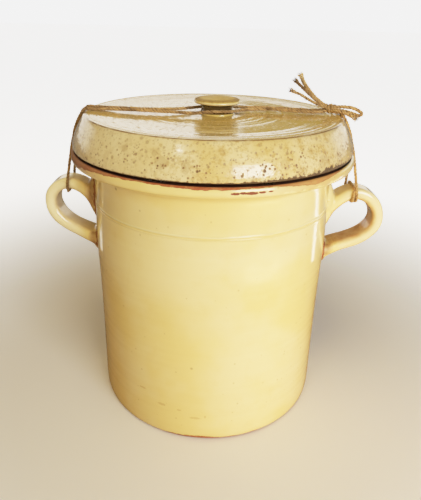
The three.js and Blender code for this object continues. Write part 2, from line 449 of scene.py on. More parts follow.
twineSettings = {
    "radius": 1.4,
    "plies": 3,
    "plyRadius": 0.74,
    "plyOffset": 0.72,
    "pitch": 8.6,
    "spacing": 0.85,
    "sides": 8,
    "endHairs": 26,       # loose fibres at each frayed end
    "endHairLength": (2.2, 5.2),
    "endHairRadii": [0.14, 0.13, 0.1, 0.04],
    "frayLength": 6,      # mm over which the plies open out
    "frayOpening": 1.3,
    "frayThinning": 0.45,
    "fuzz": 620,          # short fibres along the cords
    "fuzzLength": (1.2, 4.2),
    "fuzzRadii": [0.07, 0.06, 0.05, 0.02],
    "lidTop": 288.6,
    "lidSide": [
        (127.4, 261.4), (127.1, 264.4), (125.5, 270), (122.6, 276.6),
        (119.2, 282.8), (116.9, 286.6), (115.6, 288.2),
    ],
    "lay": 1.6,           # mm from what the cord lies on to its middle
    "seed": 11,
}
twineZ = twineSettings["lidTop"] + twineSettings["lay"]
wander = np.random.default_rng(twineSettings["seed"])


def onLidSide(share, side, y):
    # a point of a cord that lies on the lid's side, at a share of the way up
    line = smoothThrough(twineSettings["lidSide"], 0.05)
    spot = min(int(share * (len(line) - 1)), len(line) - 2)
    point = line[spot]
    along = line[spot + 1] - line[spot]
    along = along / np.linalg.norm(along)
    radius = point[0] + twineSettings["lay"] * along[1]
    return [side * math.sqrt(radius * radius - y * y), y, point[1] - twineSettings["lay"] * along[0]]


def upLidSide(side, yLip, yShoulder):
    return [onLidSide(share, side, yLip + (yShoulder - yLip) * share) for share in (0.1, 0.35, 0.6, 0.82)]


def onLidTop(*spots):
    return [[x, y, twineZ] for x, y in spots]


# from the knot over the lid behind the knob, round the left handle, and back in front of the knob
overBehind = [[103, 3.2, 292]] + onLidTop(
    (92, 8.4), (80, 11.6), (67, 14.2), (55, 16.2), (44, 17.2), (34, 17.2), (24, 17), (13.5, 17.2),
    (3, 17.8), (-8, 15.4), (-17, 9.4), (-26, 3), (-39.5, -3.2), (-57, -5.6), (-75, -4.2), (-94, -1.8),
    (-108, 0.4),
) + [[-115.4, 1.4, 290]] + upLidSide(-1, 5, 1.6)[::-1]
leftWrap = [
    [-131.2, 6.6, 255.6], [-132.6, 8.4, 247], [-135, 11, 235], [-137, 13.4, 226],
    [-138.2, 14.3, 219], [-138.4, 13, 213.4], [-138.3, 8.4, 212.5], [-138, 0, 212.4],
    [-137.6, -8.4, 212.5], [-137.4, -13, 213.4], [-137.2, -14.3, 219], [-136.3, -13.2, 226],
    [-134.7, -10.8, 236], [-132.5, -8.6, 248], [-131.2, -7.4, 255.6],
]
overInFront = upLidSide(-1, -7.2, -10) + [[-115.2, -11, 290]] + onLidTop(
    (-110, -12.4), (-102, -12.2), (-92, -11), (-82, -11), (-69.5, -12.6), (-56, -14.4), (-43, -16.6),
    (-30, -18.8), (-17, -19.4),
) + [[-6, -18.2, 290.8], [4, -17, 291.2], [13, -14, 291], [20, -7.6, 290.6]] + onLidTop(
    (27, 0.2), (34, 5.8), (43, 8.8), (54, 8.6), (66, 5.4), (79, 1.4), (91, -1),
) + [[103, 0.6, 291.4]]
# from the knot down to the right handle and one and a half turns round its upper arm
rightWrap = (
    [[106, 0, 292], [111.5, -1.8, 290.8], [115.6, -2.8, 290]] + upLidSide(1, -4.8, -3.2)[::-1]
    + [[131.2, -6, 255.6], [133.2, -8, 246], [135.4, -10.8, 234], [136.9, -13.2, 224],
       [138.3, -14.3, 216], [138.4, -13, 210.4], [138.2, -8, 209.1], [137.8, 0, 209],
       [137.4, 8.4, 209], [137.2, 13, 210.4], [137, 14.3, 215.6], [136.8, 12.8, 221],
       [136.6, 8, 222.4], [136.2, 0, 222.5], [135.8, -8, 222.2], [135.5, -12.8, 220.6],
       [135.4, -14.3, 215.2], [135.3, -13, 210], [135.2, -8, 208.6], [134.8, 0, 208.4],
       [134.4, 8.4, 208.2], [134.2, 13, 209.6], [134, 14.4, 215], [133.8, 13.4, 223],
       [133.2, 11, 236], [132.4, 8.6, 248], [131.2, 7, 255.6]]
    + upLidSide(1, 5.6, 4) + [[115.6, 3.8, 290], [111.5, 3, 291], [106, 2, 292.4]]
)
knotSettings = {"start": 102, "y": 1.4, "z": 293.4, "radius": 2.9, "turns": 2.2, "length": 8, "points": 19}


def coilKnot(s):
    coil = []
    for share in np.linspace(0, 1, s["points"]):
        turn = 2 * math.pi * s["turns"] * share
        y, z = s["y"] + s["radius"] * math.cos(turn), s["z"] + s["radius"] * math.sin(turn)
        coil.append([s["start"] + s["length"] * share, y, z])
    return coil


endLong = [[105, 2, 294], [98, 2.6, 297.6], [90, 3.2, 303.6], [82, 3.8, 312.6], [76.4, 4.2, 322]]
endMiddle = [[104, 1, 294.6], [96, 0.4, 298], [86.4, -0.6, 304.8], [78, -1.6, 311.8], [71, -2.4, 317.8]]
endThin = [[104, 0, 294], [96, -2.4, 296.4], [86, -5, 300.8], [77, -7, 305.8], [67, -8.4, 309.8]]
bowLoop = [
    [103, 1, 294.4], [113, -1, 295.4], [123, -2.6, 295.2], [130, -4, 293.2], [133.6, -5.2, 290.4],
    [131.6, -6, 288.8], [125, -5.6, 290.6], [116, -3.8, 292.6], [106, -0.6, 293],
]
endRight = [[106, -1, 293], [114, -5, 292.2], [121, -8, 289.8], [128, -10, 286.4]]

# points, share of the usual thickness, and whether it ends frayed
cords = {
    "longCord": (overBehind + leftWrap + overInFront, 1.0, False),
    "rightWrap": (rightWrap, 1.0, False),
    "knotCoil": (coilKnot(knotSettings), 1.05, False),
    "endLong": (endLong, 1.3, True),
    "endMiddle": (endMiddle, 1.0, True),
    "endThin": (endThin, 0.9, True),
    "bowLoop": (bowLoop, 1.1, False),
    "endRight": (endRight, 1.1, True),
}


def framesAlong(route):
    # a pair of directions square to the route at each point, carried along without twisting
    ahead = np.gradient(route, axis=0)
    ahead /= np.linalg.norm(ahead, axis=1)[:, None]
    across = np.cross(ahead[0], (0.13, 0.21, 0.97))
    sides = []
    for direction in ahead:
        across = across - direction * np.dot(across, direction)
        across /= np.linalg.norm(across)
        sides.append(across.copy())
    sides = np.array(sides)
    return ahead, sides, np.cross(ahead, sides)


def addTube(strands, line, radii, count, centre, reach, shift):
    # a closed tube along the line; centre is the cord's own line, for how far out each point lies
    across, up = framesAlong(line)[1:]
    base = len(strands["spots"])
    along = np.concatenate([[0], np.cumsum(np.linalg.norm(np.diff(line, axis=0), axis=1))])
    for i, spot in enumerate(line):
        for k in range(count):
            turn = 2 * math.pi * k / count
            point = spot + radii[i] * (math.cos(turn) * across[i] + math.sin(turn) * up[i])
            strands["spots"].append(point)
            strands["fibre"].append((along[i] + shift, k / count, shift))
            strands["outward"].append(np.linalg.norm(point - centre[i]) / reach)
    for i in range(len(line) - 1):
        for k in range(count):
            a = base + i * count + k
            b = base + i * count + (k + 1) % count
            strands["faces"].append((a, b, b + count, a + count))
    strands["faces"].append(tuple(base + k for k in range(count))[::-1])
    last = base + (len(line) - 1) * count
    strands["faces"].append(tuple(last + k for k in range(count)))


def buildStrands(strands, name):
    mesh = bpy.data.meshes.new(name)
    mesh.from_pydata([tuple(float(c) * mm for c in p) for p in strands["spots"]], [], strands["faces"])
    fibre = mesh.attributes.new("fibre", "FLOAT_VECTOR", "POINT")
    fibre.data.foreach_set("vector", np.array(strands["fibre"], np.float32).reshape(-1))
    outward = mesh.attributes.new("outward", "FLOAT", "POINT")
    outward.data.foreach_set("value", np.array(strands["outward"], np.float32))
    mesh.polygons.foreach_set("use_smooth", [True] * len(mesh.polygons))
    piece = bpy.data.objects.new(name, mesh)
    bpy.context.scene.collection.objects.link(piece)
    selectOnly([piece])
    startEditing()
    finishEditing()
    return piece


def sideways(lean, across, up):
    return math.cos(lean) * across + math.sin(lean) * up


def layPlies(strands, s, number, points, share, frayed):
    # one cord, as plies that twist round its route and open out at a frayed end; returns its length
    route = smoothThrough(points, s["spacing"])
    length = float(np.sum(np.linalg.norm(np.diff(route, axis=0), axis=1)))
    ahead, across, up = framesAlong(route)
    along = np.linspace(0, length, len(route))
    for ply in range(s["plies"]):
        phase = 2 * math.pi * ply / s["plies"] + number * 0.9
        turn = 2 * math.pi * along / s["pitch"] + phase + 0.35 * np.sin(along * 0.11 + number + ply)
        wobble = 1 + 0.10 * np.sin(along * 0.55 + 2.1 * ply + number) + 0.07 * np.sin(along * 1.7 + ply * 3)
        offset = s["plyOffset"] * share * (1 + 0.06 * np.sin(along * 0.31 + ply))
        line = route + (offset * np.cos(turn))[:, None] * across + (offset * np.sin(turn))[:, None] * up
        radii = s["plyRadius"] * share * wobble
        if frayed:
            opening = np.clip((along - (length - s["frayLength"])) / s["frayLength"], 0, 1)
            line = line + (opening**1.5 * s["frayOpening"])[:, None] * (
                np.cos(turn)[:, None] * across + np.sin(turn)[:, None] * up)
            radii = radii * (1 - s["frayThinning"] * opening)
        reach = (s["plyOffset"] + s["plyRadius"]) * share
        addTube(strands, line, radii, s["sides"], route, reach, 1000 * number + 200 * ply)
    if frayed:
        for _ in range(s["endHairs"]):
            lean = wander.uniform(0, 2 * math.pi)
            spread = wander.uniform(0.1, 0.8)
            outwards = sideways(lean, across[-1], up[-1])
            start = route[-4] + outwards * wander.uniform(0.1, 1.0) * share
            tip = wander.uniform(*s["endHairLength"])
            hair = np.array([start + ahead[-1] * tip * t + outwards * spread * tip * t**1.6 * 0.7
                             for t in (0, 0.3, 0.65, 1)])
            addTube(strands, hair, s["endHairRadii"], 4, hair, 0.2, 7000 + 10 * number)
    return length


def layFuzz(strands, s, cords):
    # short fibres that stand off the whole length
    routes = [smoothThrough(cord[0], 1.0) for cord in cords]
    weights = np.array([len(smoothThrough(cord[0], 2.0)) for cord in cords])
    chosen = wander.choice(len(cords), size=s["fuzz"], p=weights / sum(weights))
    frames = [framesAlong(route) for route in routes]
    for which in chosen:
        route, (ahead, across, up) = routes[which], frames[which]
        spot = int(wander.integers(1, len(route) - 1))
        outwards = sideways(wander.uniform(0, 2 * math.pi), across[spot], up[spot])
        reach = wander.uniform(*s["fuzzLength"])
        way = ahead[spot] * wander.choice([-1, 1]) * wander.uniform(0.5, 1.0)
        way = way + outwards * wander.uniform(0.25, 0.8)
        bend = wander.normal(0, 0.25, 3)
        start = route[spot] + outwards * s["radius"] * cords[which][1] * 0.85
        hair = np.array([start + way * reach * t + bend * reach * t * t for t in (0, 0.35, 0.7, 1)])
        addTube(strands, hair, s["fuzzRadii"], 3, hair, 0.1, 9000 + 3 * int(spot))


def layTwine(s, cords):
    strands = {"spots": [], "faces": [], "fibre": [], "outward": []}
    total = 0.0
    for number, cord in enumerate(cords):
        total += layPlies(strands, s, number, *cord)
    layFuzz(strands, s, cords)
    piece = buildStrands(strands, "twineStrands")
    print("twine laid: %.0f mm of cord in %d faces" % (total, len(piece.data.polygons)))
    return piece


twine = layTwine(twineSettings, list(cords.values()))


def addNode(tree, kind, **values):
    node = tree.nodes.new(kind)
    for key, value in values.items():
        setattr(node, key, value)
    return node


def feed(tree, value, socket):
    # a number or colour is set on the socket, and an output is linked to it
    if isinstance(value, (int, float)):
        socket.default_value = value
    elif isinstance(value, tuple):
        socket.default_value = (*value, 1)
    else:
        tree.links.new(value, socket)


def mathNode(tree, operation, *values, clamp=False):
    node = addNode(tree, "ShaderNodeMath", operation=operation, use_clamp=clamp)
    for value, socket in zip(values, node.inputs):
        feed(tree, value, socket)
    return node.outputs[0]


def multiply(tree, first, second):
    return mathNode(tree, "MULTIPLY", first, second)


def add(tree, first, second):
    return mathNode(tree, "ADD", first, second)


def larger(tree, first, second):
    return mathNode(tree, "MAXIMUM", first, second)


def takeFrom(tree, whole, value):
    return mathNode(tree, "SUBTRACT", whole, value)


def vectorNode(tree, operation, first, second=None):
    node = addNode(tree, "ShaderNodeVectorMath", operation=operation)
    tree.links.new(first, node.inputs[0])
    if isinstance(second, tuple):
        node.inputs[1].default_value = second
    elif second is not None:
        tree.links.new(second, node.inputs[1])
    return node.outputs["Value" if operation in ("LENGTH", "DISTANCE", "DOT_PRODUCT") else "Vector"]


def splitNode(tree, vector):
    node = addNode(tree, "ShaderNodeSeparateXYZ")
    tree.links.new(vector, node.inputs[0])
    return node.outputs


def stepNode(tree, value, low, high):
    # 0 below low and 1 above high, smooth between them
    node = addNode(tree, "ShaderNodeMapRange", interpolation_type="SMOOTHSTEP")
    for title, given in (("Value", value), ("From Min", low), ("From Max", high)):
        feed(tree, given, node.inputs[title])
    return node.outputs["Result"]


def noiseNode(tree, vector, scale, detail=3.0, rough=0.5):
    node = addNode(tree, "ShaderNodeTexNoise")
    for title, given in (("Vector", vector), ("Scale", scale), ("Detail", detail), ("Roughness", rough)):
        feed(tree, given, node.inputs[title])
    return node.outputs["Fac"]


def mixColours(tree, factor, first, second, blend="MIX"):
    node = addNode(tree, "ShaderNodeMix", data_type="RGBA", blend_type=blend)
    feed(tree, factor, node.inputs["Factor"])
    for value, socket in zip((first, second), [s for s in node.inputs if s.type == "RGBA"]):
        feed(tree, value, socket)
    return [s for s in node.outputs if s.type == "RGBA"][0]


def layOver(tree, colour, mask, strength, tint):
    # the tint over the colour where the mask is, at the given strength
    return mixColours(tree, multiply(tree, mask, strength), colour, tint)


def objectPlace(tree):
    return addNode(tree, "ShaderNodeTexCoord").outputs["Object"]


def markOf(tree, name):
    # a mask that was kept on the mesh
    return addNode(tree, "ShaderNodeAttribute", attribute_name=name).outputs["Fac"]


def whereOnPot(tree):
    # the point, its X and its height, its place seen from above, and its distance from the axis
    place = objectPlace(tree)
    split = splitNode(tree, place)
    flat = addNode(tree, "ShaderNodeCombineXYZ")
    for axis in "XY":
        tree.links.new(split[axis], flat.inputs[axis])
    return place, split["X"], split["Z"], flat.outputs[0], vectorNode(tree, "LENGTH", flat.outputs[0])


def startGroup(name, inputs, outputs):
    # inputs by name, each with its usual number or vector
    group = bpy.data.node_groups.new(name, "ShaderNodeTree")
    for title, value in inputs.items():
        kind = "NodeSocketVector" if isinstance(value, tuple) else "NodeSocketFloat"
        socket = group.interface.new_socket(name=title, in_out="INPUT", socket_type=kind)
        socket.default_value = value
    for title in outputs:
        group.interface.new_socket(name=title, in_out="OUTPUT", socket_type="NodeSocketFloat")
    return group, addNode(group, "NodeGroupInput").outputs, addNode(group, "NodeGroupOutput").inputs


def placeGroup(tree, group, **values):
    node = addNode(tree, "ShaderNodeGroup", node_tree=group)
    for title, value in values.items():
        if isinstance(value, bpy.types.NodeSocket):
            tree.links.new(value, node.inputs[title])
        else:
            node.inputs[title].default_value = value
    return node.outputs


def spreadNodes(tree):
    # lays the tree out for reading: each node stands in the column left of all that it feeds
    columns, rows = {}, {}

    def columnOf(node):
        if node.name not in columns:
            fed = [link.to_node for socket in node.outputs for link in socket.links]
            columns[node.name] = 1 + max((columnOf(other) for other in fed), default=0)
        return columns[node.name]

    for node in tree.nodes:
        column = columnOf(node)
        rows[column] = rows.get(column, 0) + 1
        node.location = (-220 * column, -260 * rows[column])


def makeThrowLines():
    # lines left round the pot by throwing, which wander a little
    tree, source, sink = startGroup("throwLines", {"Lines": 300.0, "Wander": 0.002}, ["Height", "Streak"])
    place = objectPlace(tree)
    drift = multiply(tree, noiseNode(tree, place, 9.0, 2), source["Wander"])
    height = multiply(tree, add(tree, splitNode(tree, place)["Z"], drift), source["Lines"])
    stack = addNode(tree, "ShaderNodeCombineXYZ")
    tree.links.new(height, stack.inputs["Z"])
    tree.links.new(noiseNode(tree, stack.outputs[0], 1.0, 3, 0.6), sink["Height"])
    tree.links.new(noiseNode(tree, stack.outputs[0], 0.22, 2, 0.5), sink["Streak"])
    return tree


def makeSpecks():
    # brown specks of iron in the glaze: each cell of a Voronoi may hold one, of its own size
    tree, source, sink = startGroup("specks", {"Scale": 400.0, "Size": 0.25, "Share": 0.2}, ["Mask", "Tone"])
    cells = addNode(tree, "ShaderNodeTexVoronoi")
    tree.links.new(objectPlace(tree), cells.inputs["Vector"])
    tree.links.new(source["Scale"], cells.inputs["Scale"])
    chance = addNode(tree, "ShaderNodeSeparateColor")
    tree.links.new(cells.outputs["Color"], chance.inputs[0])
    size = add(tree, multiply(tree, chance.outputs[1], source["Size"]), 0.04)
    inside = takeFrom(tree, 1.0, stepNode(tree, cells.outputs["Distance"], multiply(tree, size, 0.4), size))
    picked = mathNode(tree, "LESS_THAN", chance.outputs[0], source["Share"])
    tree.links.new(multiply(tree, inside, picked), sink["Mask"])
    tree.links.new(chance.outputs[2], sink["Tone"])
    return tree


def raggedMask(tree, share, place, source, rough, swing, fullUpTo):
    # full where the share of the reach is small, with its edge at 1 broken up by noise
    breakUp = takeFrom(tree, noiseNode(tree, place, source["Grain"], 4, rough), 0.5)
    breakUp = multiply(tree, multiply(tree, breakUp, source["Ragged"]), swing)
    return takeFrom(tree, 1.0, stepNode(tree, add(tree, share, breakUp), fullUpTo, 1.05))


def makePatch():
    # a soft round patch about a point, broken up by noise, for worn clay and single pits
    tree, source, sink = startGroup("patch", {
        "Place": (0, 0, 0), "Stretch": (1, 1, 1), "Reach": 0.01, "Ragged": 0.4, "Grain": 300.0}, ["Mask"])
    place = objectPlace(tree)
    away = vectorNode(tree, "SUBTRACT", place, source["Place"])
    away = vectorNode(tree, "MULTIPLY", away, source["Stretch"])
    share = mathNode(tree, "DIVIDE", vectorNode(tree, "LENGTH", away), source["Reach"])
    tree.links.new(raggedMask(tree, share, place, source, 0.65, 4.0, 0.75), sink["Mask"])
    return tree


def makeBand():
    # a band round the pot about a height, with ragged edges
    tree, source, sink = startGroup("wornBand", {
        "Middle": 0.25, "Half": 0.002, "Ragged": 0.5, "Grain": 120.0}, ["Mask"])
    place = objectPlace(tree)
    away = mathNode(tree, "ABSOLUTE", takeFrom(tree, splitNode(tree, place)["Z"], source["Middle"]))
    share = mathNode(tree, "DIVIDE", away, source["Half"])
    tree.links.new(raggedMask(tree, share, place, source, 0.6, 5.0, 0.8), sink["Mask"])
    return tree


def makeRoundLump():
    # a soft lump round the pot's side about an angle in degrees, from -Y towards +X
    tree, source, sink = startGroup("roundLump", {"Angle": 0.0, "Width": 20.0}, ["Mask"])
    split = splitNode(tree, objectPlace(tree))
    angle = mathNode(tree, "ARCTAN2", split["X"], multiply(tree, split["Y"], -1.0))
    away = takeFrom(tree, mathNode(tree, "DEGREES", angle), source["Angle"])
    away = mathNode(tree, "DIVIDE", away, source["Width"])
    away = multiply(tree, multiply(tree, away, away), -1.0)
    tree.links.new(mathNode(tree, "EXPONENT", away), sink["Mask"])
    return tree


throwLines = makeThrowLines()
specks = makeSpecks()
patch = makePatch()
wornBand = makeBand()
roundLump = makeRoundLump()
print("finish groups made")


def startMaterial(name):
    material = bpy.data.materials.new(name)
    material.use_nodes = True
    tree = material.node_tree
    return material, tree, [n for n in tree.nodes if n.type == "BSDF_PRINCIPLED"][0]


def bumpFrom(tree, height, depth, strength, shader):
    bump = addNode(tree, "ShaderNodeBump")
    bump.inputs["Distance"].default_value = depth
    bump.inputs["Strength"].default_value = strength
    tree.links.new(height, bump.inputs["Height"])
    tree.links.new(bump.outputs[0], shader.inputs["Normal"])


def lumpsNode(tree, base, lumps):
    # a width that swells at each lump: angle, angle's width and how much it adds
    total = base
    for angle, width, more in lumps:
        swell = placeGroup(tree, roundLump, Angle=angle, Width=width)["Mask"]
        total = add(tree, multiply(tree, swell, more), total)
    return total


def patchesNode(tree, patches, ragged, grain):
    # the strongest of some soft patches, each with its place in mm, its reach in mm and its stretch
    strongest = None
    for centre, reach, stretch in patches:
        one = placeGroup(tree, patch, Place=tuple(v * mm for v in centre), Stretch=stretch,
                         Reach=reach * mm, Ragged=ragged, Grain=grain)["Mask"]
        strongest = one if strongest is None else larger(tree, strongest, one)
    return strongest


jarFinish = {
    "glaze": (0.84, 0.66, 0.27),
    "pale": (0.87, 0.72, 0.37),
    "deep": (0.76, 0.52, 0.16),
    "ringThinGlazeHighlight": (0.90, 0.80, 0.46),
    # the left handle's tint holds a painted sheen, the right one's painted shade
    "strapLeftSheen": (0.93, 0.84, 0.58),
    "strapRightShade": (0.74, 0.63, 0.39),
    "clay": (0.36, 0.095, 0.03),
    "clayPale": (0.50, 0.22, 0.08),
    "clayPink": (0.28, 0.145, 0.07),
    "ochre": (0.48, 0.27, 0.09),
    "burnt": (0.17, 0.045, 0.018),
    # brown for the rim's stain, and for painted shade in the hand holes
    "stain": (0.46, 0.21, 0.065),
    "rust": (0.24, 0.08, 0.03),
    "speck": (0.22, 0.11, 0.04),
    # painted shade for the seat under the lid
    "dirtAndShade": (0.06, 0.022, 0.012),
    # how strongly each layer shows
    "streaks": 0.10,
    "blotches": 0.16,
    "onStraps": 0.6,
    "inPits": 0.4,
    "pinkAtLeft": 0.88,
    "shadeInSeat": 0.9,
    "gloss": 0.13,          # roughness of clean glaze
    "coat": 0.5,
    "reliefDepth": 0.00022,
    # edges of masks in m, from where each is 0 to where it is 1
    "wallWithin": (0.1142, 0.1134),
    "strapBeyond": (0.122, 0.134),
    "strapBelow": (0.236, 0.230),
    "rimBeyond": (0.1255, 0.127),
    "seatWithin": (0.1272, 0.1262),
    "seatAbove": (0.2565, 0.2572),
    # the ring's pale line, thinner glaze on the ridge with a painted highlight, and the dark one in the
    # groove under it, painted shade: height and half width in m, strength, colour
    "ringHighlightAndShade": [(0.2118, 0.0009, 0.5, "ringThinGlazeHighlight"), (0.2104, 0.0006, 0.35, "deep")],
    # specks of iron, small and large, and how strongly they show
    "ironSpecks": [
        ({"Scale": 210.0, "Size": 0.24, "Share": 0.14}, 0.28),
        ({"Scale": 64.0, "Size": 0.10, "Share": 0.16}, 0.5),
    ],
    # bare clay at rim and foot: least half width in m, then where it is wider, as angle, width, added height
    "rimBand": {"Middle": 0.2588, "Ragged": 0.26, "Grain": 150.0},
    "rimBare": (0.0012, [
        (-62, 15, 0.0047), (-38, 10, 0.0008), (-2, 15, 0.0013), (37, 10, 0.0030), (68, 17, -0.0010)]),
    "footBand": {"Middle": 0.0, "Ragged": 0.3, "Grain": 110.0},
    "footBare": (0.0013, [(-5, 17, 0.0026), (24, 9, 0.0012), (-150, 20, 0.0014), (110, 18, 0.001)]),
    # brown stain about the rim's bare clay: angle, angle's width, strength
    "rimStainBand": {"Middle": 0.2575, "Half": 0.0062, "Ragged": 0.35, "Grain": 90.0},
    "rimStains": [(-66, 22, 0.75), (42, 20, 0.45)],
    # small pits low on the wall, and chips on the band: place and reach in mm, stretch
    "pits": [
        ((-60.9, -95.4, 47.0), 3.0, (0.6, 1, 2.6)), ((-42.1, -105.2, 35.7), 3.2, (0.6, 1, 2.4)),
        ((-25.6, -110.4, 33.7), 1.8, (0.8, 1, 1.6)), ((-10.5, -112.9, 26.7), 3.6, (0.6, 1, 2.8)),
        ((-1.1, -113.3, 28.7), 1.3, (1.3, 1, 0.8)),
    ],
    "chips": [
        ((17.0, -127.9, 254.0), 2.6, (0.7, 1, 2.6)), ((22.5, -127.0, 254.3), 2.4, (0.8, 1, 2.4)),
        ((28.8, -125.8, 254.1), 3.2, (0.6, 1, 2.6)), ((36.4, -123.9, 254.4), 2.4, (0.7, 1, 2.8)),
        ((42.5, -122.0, 254.6), 1.8, (0.8, 1, 2.6)),
    ],
    # rust-brown stain round the roots of the handles: place and reach in mm, stretch
    "rootStains": [
        ((-116, -12, 206), 19, (1, 0.8, 0.8)), ((-116, -15, 165), 8, (1.2, 1, 0.9)),
        ((116, -15, 160), 8, (1, 1, 1)),
    ],
    # where the seams of the handles are bare
    "bareSeams": [
        ((-114, -8, 203), 24, (1, 1, 0.8)), ((-114, -8, 167), 20, (1, 1, 0.9)),
        ((113, -6, 158), 17, (1, 1, 1)), ((112, 14, 206), 13, (1, 1, 1)),
    ],
}


def glazeOfJar(c, tree, place, x, height, radius, streaks):
    uneven = stepNode(tree, noiseNode(tree, place, 11.0, 3, 0.55), 0.38, 0.66)
    colour = mixColours(tree, uneven, c["glaze"], c["pale"])
    colour = layOver(tree, colour, stepNode(tree, streaks, 0.4, 0.75), c["streaks"], c["deep"])
    blotches = stepNode(tree, noiseNode(tree, place, 48.0, 4, 0.6), 0.5, 0.78)
    colour = layOver(tree, colour, blotches, c["blotches"], c["deep"])
    onWall = stepNode(tree, radius, *c["wallWithin"])
    # pale line with a painted highlight on the ring's ridge, painted shade in the groove below
    for middle, half, strength, tint in c["ringHighlightAndShade"]:
        line = placeGroup(tree, wornBand, Middle=middle, Half=half, Ragged=0.12, Grain=60.0)["Mask"]
        colour = layOver(tree, colour, multiply(tree, line, onWall), strength, c[tint])
    # the glaze lies thinner and paler on the handles; the left one is painted paler still, a painted sheen,
    # and the right one darker, painted shade
    atRight = stepNode(tree, x, -0.05, 0.05)
    onStrap = stepNode(tree, mathNode(tree, "ABSOLUTE", x), *c["strapBeyond"])
    onStrap = multiply(tree, onStrap, c["onStraps"])
    onStrap = multiply(tree, onStrap, stepNode(tree, height, *c["strapBelow"]))
    colour = mixColours(tree, onStrap, colour, mixColours(tree, atRight, c["strapLeftSheen"], c["strapRightShade"]))
    for kind, strength in c["ironSpecks"]:
        colour = layOver(tree, colour, placeGroup(tree, specks, **kind)["Mask"], strength, c["speck"])
    return colour, atRight


def bareClay(c, tree, place, chips, bare):
    tone = stepNode(tree, noiseNode(tree, place, 130.0, 5, 0.7), 0.40, 0.66)
    clay = mixColours(tree, tone, c["clay"], c["clayPale"])
    atLeft = placeGroup(tree, roundLump, Angle=-68.0, Width=34.0)["Mask"]
    clay = layOver(tree, clay, atLeft, c["pinkAtLeft"], c["clayPink"])
    # streaks of ochre at the right of the front
    streaky = stepNode(tree, noiseNode(tree, place, 260.0, 4, 0.7), 0.66, 0.46)
    ochre = placeGroup(tree, roundLump, Angle=37.0, Width=15.0)["Mask"]
    ochre = multiply(tree, ochre, add(tree, multiply(tree, streaky, 0.5), 0.45))
    clay = mixColours(tree, ochre, clay, c["ochre"])
    # the edges of the bare patches are burnt, and so are the chips
    edge = multiply(tree, multiply(tree, bare, takeFrom(tree, 1.0, bare)), 3.4)
    return mixColours(tree, larger(tree, edge, multiply(tree, chips, 0.85)), clay, c["burnt"])


def jarMaterial(c):
    material, tree, shader = startMaterial("jarGlaze")
    place, x, height, _, radius = whereOnPot(tree)
    lines = placeGroup(tree, throwLines, Lines=300.0, Wander=0.004)
    colour, atRight = glazeOfJar(c, tree, place, x, height, radius, lines["Streak"])
    # painted shade with a painted brown reflection, and some dirt, on the faces that look into the hand
    # holes, more of it on the right handle
    holeShade = multiply(tree, markOf(tree, "holeShade"), add(tree, multiply(tree, atRight, 0.7), 0.4))
    smear = stepNode(tree, noiseNode(tree, place, 90.0, 4, 0.6), 0.3, 0.7)
    holeShade = multiply(tree, holeShade, add(tree, multiply(tree, smear, 0.4), 0.3))
    colour = mixColours(tree, holeShade, colour, c["stain"])
    # rust round the handles' roots, which fades away from the wall
    atSeam = markOf(tree, "seam")
    rust = patchesNode(tree, c["rootStains"], 0.25, 130.0)
    rust = multiply(tree, rust, stepNode(tree, atSeam, -0.15, 0.65))
    rust = multiply(tree, rust, add(tree, multiply(tree, smear, 0.45), 0.45))
    colour = mixColours(tree, rust, colour, c["rust"])
    rimStain = placeGroup(tree, wornBand, **c["rimStainBand"])["Mask"]
    rimStain = multiply(tree, rimStain, lumpsNode(tree, 0.0, c["rimStains"]))
    rimStain = multiply(tree, rimStain, stepNode(tree, radius, *c["rimBeyond"]))
    colour = mixColours(tree, rimStain, colour, c["stain"])
    pits = patchesNode(tree, c["pits"], 0.45, 700.0)
    colour = layOver(tree, colour, pits, c["inPits"], c["ochre"])
    # bare clay: the rim's edge, the foot, the seams of the handles and the chips
    rim = placeGroup(tree, wornBand, Half=lumpsNode(tree, *c["rimBare"]), **c["rimBand"])["Mask"]
    foot = placeGroup(tree, wornBand, Half=lumpsNode(tree, *c["footBare"]), **c["footBand"])["Mask"]
    seamEdge = multiply(tree, noiseNode(tree, place, 150.0, 4, 0.65), 0.5)
    seam = stepNode(tree, add(tree, atSeam, seamEdge), 1.0, 1.16)
    seam = multiply(tree, seam, patchesNode(tree, c["bareSeams"], 0.3, 60.0))
    chips = patchesNode(tree, c["chips"], 0.3, 600.0)
    bare = larger(tree, larger(tree, larger(tree, rim, foot), seam), chips)
    clay = bareClay(c, tree, place, chips, bare)
    colour = mixColours(tree, stepNode(tree, bare, 0.02, 0.55), colour, clay)
    # painted shade where the lid sits, darkening the gap between lid and rim
    seatShade = stepNode(tree, radius, *c["seatWithin"])
    seatShade = multiply(tree, seatShade, stepNode(tree, height, *c["seatAbove"]))
    colour = layOver(tree, colour, seatShade, c["shadeInSeat"], c["dirtAndShade"])
    tree.links.new(colour, shader.inputs["Base Color"])
    # gloss, less of it on rust and bare clay
    grain = noiseNode(tree, place, 900.0, 3, 0.6)
    gloss = add(tree, add(tree, multiply(tree, grain, 0.06), c["gloss"]), multiply(tree, rust, 0.5))
    rough = mathNode(tree, "ADD", gloss, multiply(tree, bare, 0.5), clamp=True)
    tree.links.new(rough, shader.inputs["Roughness"])
    worn = larger(tree, multiply(tree, bare, 0.5), multiply(tree, rust, 0.6))
    tree.links.new(mathNode(tree, "SUBTRACT", c["coat"], worn, clamp=True), shader.inputs["Coat Weight"])
    shader.inputs["Coat Roughness"].default_value = 0.05
    # relief: throwing lines, uneven glaze, and clay that lies a little under the glaze
    peel = multiply(tree, noiseNode(tree, place, 150.0, 2, 0.5), 0.3)
    relief = add(tree, multiply(tree, lines["Height"], 0.4), peel)
    rubbed = noiseNode(tree, place, 420.0, 4, 0.7)
    relief = add(tree, relief, multiply(tree, bare, takeFrom(tree, rubbed, 1.3)))
    bumpFrom(tree, relief, c["reliefDepth"], 0.6, shader)
    return material


